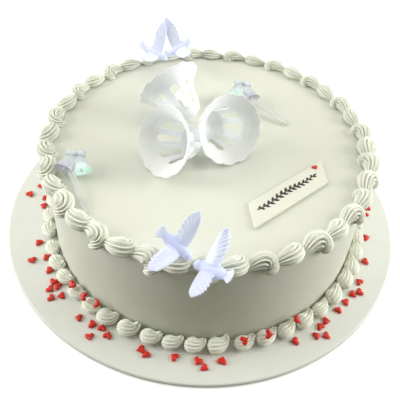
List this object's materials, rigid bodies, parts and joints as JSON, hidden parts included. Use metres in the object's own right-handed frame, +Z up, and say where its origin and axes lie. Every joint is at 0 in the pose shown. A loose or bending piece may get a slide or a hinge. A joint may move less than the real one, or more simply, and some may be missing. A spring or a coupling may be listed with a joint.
{
  "type": "round cream wedding cake on a board",
  "caption": "Round cake in smooth ivory cream with piped shell borders, openwork bells, doves, clear picks and a plain plaque on top, on a round white board.",
  "frame": {"origin": "centre of the round board's underside, which rests on the table", "axes": "+Z up; -Y towards the side with the plaque and the two front doves; +X to the right seen from there"},
  "size_m": [0.35, 0.35, 0.1426],
  "materials": {
    "board": "white coated card, satin",
    "cream": "smooth whipped cream, soft satin",
    "piped_cream": "piped whipped cream, ribbed, soft satin",
    "dove_plastic": "moulded white plastic with a lilac cast, satin",
    "bell_plastic": "moulded white openwork plastic, satin",
    "pick_plastic": "clear plastic with a pearly sheen, glossy",
    "plaque_sugar": "ivory sugar paste, satin",
    "sugar_hearts": "red sugar, slightly glossy"
  },
  "bodies": {
    "root": {"cake_board": "board", "cake": "cream", "top_border": "piped_cream", "base_border": "piped_cream", "dove_front_left": "dove_plastic", "dove_front_right": "dove_plastic", "dove_back_left": "dove_plastic", "dove_back_right": "dove_plastic", "bell_left": "bell_plastic", "bell_right": "bell_plastic", "bell_back": "bell_plastic", "pick_left": "pick_plastic", "pick_right": "pick_plastic", "plaque": "plaque_sugar"}
  },
  "joints": []
}
